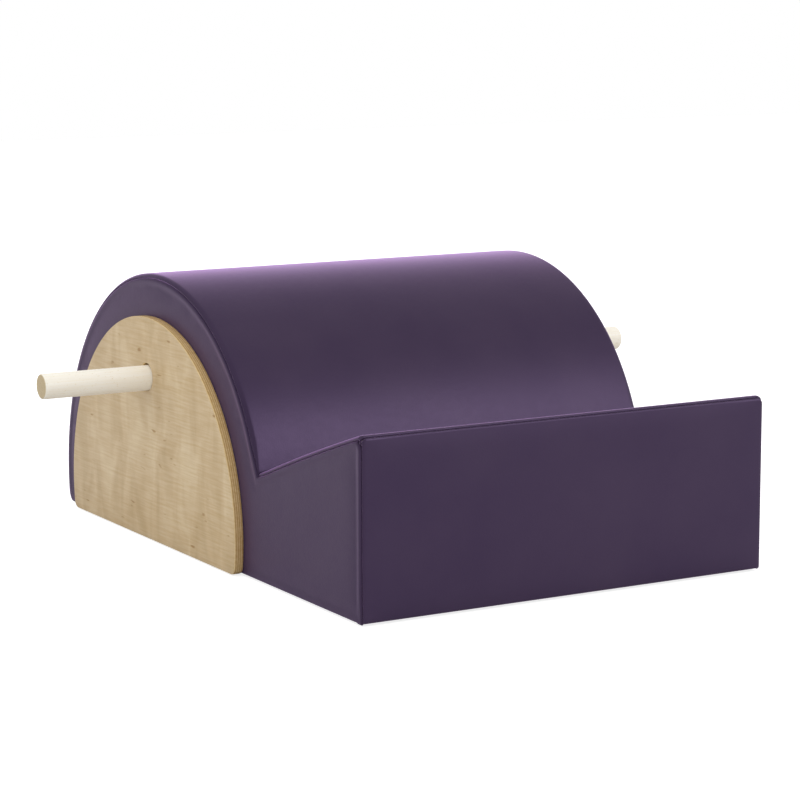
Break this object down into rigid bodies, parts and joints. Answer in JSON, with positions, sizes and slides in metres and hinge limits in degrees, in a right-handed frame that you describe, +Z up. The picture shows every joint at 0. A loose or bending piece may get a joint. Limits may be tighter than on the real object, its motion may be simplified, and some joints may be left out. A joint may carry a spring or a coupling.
{
  "type": "spine corrector",
  "caption": "Padded pilates barrel with a V-shaped seat and a ramp to a front lip, plywood side panels and a sliding wooden handle bar through its sides.",
  "frame": {"origin": "on the floor, at the middle of the object's box: midway between the handle bar's ends and between the front face and the barrel's rear", "axes": "+X along the barrel's axis and the handle bar, to the right of a person who faces the front from behind it; -Y is the front face with the lip; +Z up"},
  "size_m": [0.86, 0.8299, 0.34],
  "materials": {
    "upholstery_vinyl": "fine-grained soft vinyl, semi-matt",
    "padding_foam": "cut firm foam, open and matt",
    "birch_panel": "clear-lacquered birch plywood, satin",
    "frame_plywood": "bare plywood",
    "frame_pine": "bare planed pine",
    "handle_wood": "pale close-grained dowel, lightly sealed",
    "tube_plastic": "extruded grey plastic",
    "zinc_steel": "bright zinc plate",
    "foot_rubber": "moulded black rubber, matt",
    "liner_cloth": "black non-woven cloth"
  },
  "bodies": {
    "body": {"barrel_cover": "upholstery_vinyl", "ramp_cover": "upholstery_vinyl", "front_cover": "upholstery_vinyl", "left_side_cover": "upholstery_vinyl", "right_side_cover": "upholstery_vinyl", "barrel_foam": "padding_foam", "ramp_foam": "padding_foam", "front_foam": "padding_foam", "left_side_foam": "padding_foam", "right_side_foam": "padding_foam", "barrel_skin": "frame_plywood", "ramp_board": "frame_plywood", "front_board": "frame_plywood", "left_rib": "frame_plywood", "centre_rib": "frame_plywood", "right_rib": "frame_plywood", "crest_rail": "frame_pine", "front_shoulder_rail": "frame_pine", "rear_shoulder_rail": "frame_pine", "well_rail": "frame_pine", "lip_rail": "frame_pine", "front_foot_rail": "frame_pine", "middle_foot_rail": "frame_pine", "rear_foot_rail": "frame_pine", "left_side_panel": "birch_panel", "right_side_panel": "birch_panel", "guide_tube": "tube_plastic", "left_panel_bolt_1": "zinc_steel", "left_panel_insert_1": "zinc_steel", "left_panel_bolt_2": "zinc_steel", "left_panel_insert_2": "zinc_steel", "left_panel_bolt_3": "zinc_steel", "left_panel_insert_3": "zinc_steel", "left_panel_bolt_4": "zinc_steel", "left_panel_insert_4": "zinc_steel", "right_panel_bolt_1": "zinc_steel", "right_panel_insert_1": "zinc_steel", "right_panel_bolt_2": "zinc_steel", "right_panel_insert_2": "zinc_steel", "right_panel_bolt_3": "zinc_steel", "right_panel_insert_3": "zinc_steel", "right_panel_bolt_4": "zinc_steel", "right_panel_insert_4": "zinc_steel", "rubber_foot_1": "foot_rubber", "foot_screw_1": "zinc_steel", "rubber_foot_2": "foot_rubber", "foot_screw_2": "zinc_steel", "rubber_foot_3": "foot_rubber", "foot_screw_3": "zinc_steel", "rubber_foot_4": "foot_rubber", "foot_screw_4": "zinc_steel", "bottom_liner": "liner_cloth"},
    "handle": {"handle_bar": "handle_wood"}
  },
  "joints": [
    {"name": "handle_slide", "type": "slide", "parent": "body", "child": "handle", "axis": [1, 0, 0], "range_m": [-0.142, 0.142]}
  ]
}
